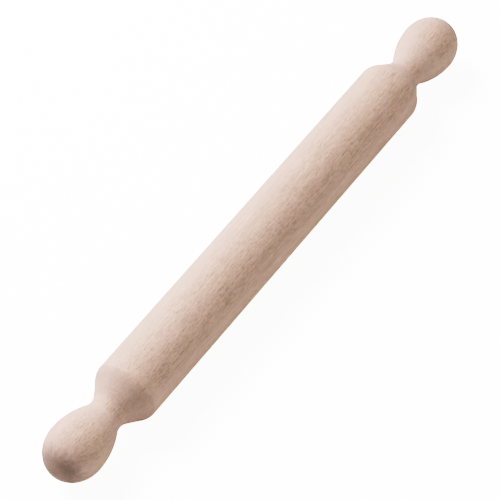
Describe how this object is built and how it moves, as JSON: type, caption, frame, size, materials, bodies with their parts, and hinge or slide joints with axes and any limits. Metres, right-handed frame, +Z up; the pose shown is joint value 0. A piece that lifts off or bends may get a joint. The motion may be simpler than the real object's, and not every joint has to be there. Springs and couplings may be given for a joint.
{
  "type": "rolling pin",
  "caption": "Turned beech rolling pin: a straight cylindrical barrel with cone shoulders, narrow necks and fixed egg-shaped handles glued into its ends.",
  "frame": {"origin": "centre of the barrel, on its long axis", "axes": "+X along the pin's axis towards the right handle, +Z up as the pin lies on a table, +Y across it"},
  "size_m": [0.5, 0.05, 0.05],
  "materials": {
    "beech": "bare turned and sanded beech, pale pinkish beige with fine dark ray flecks, matt"
  },
  "bodies": {
    "root": {"barrel": "beech", "left_handle": "beech", "right_handle": "beech"}
  },
  "joints": []
}
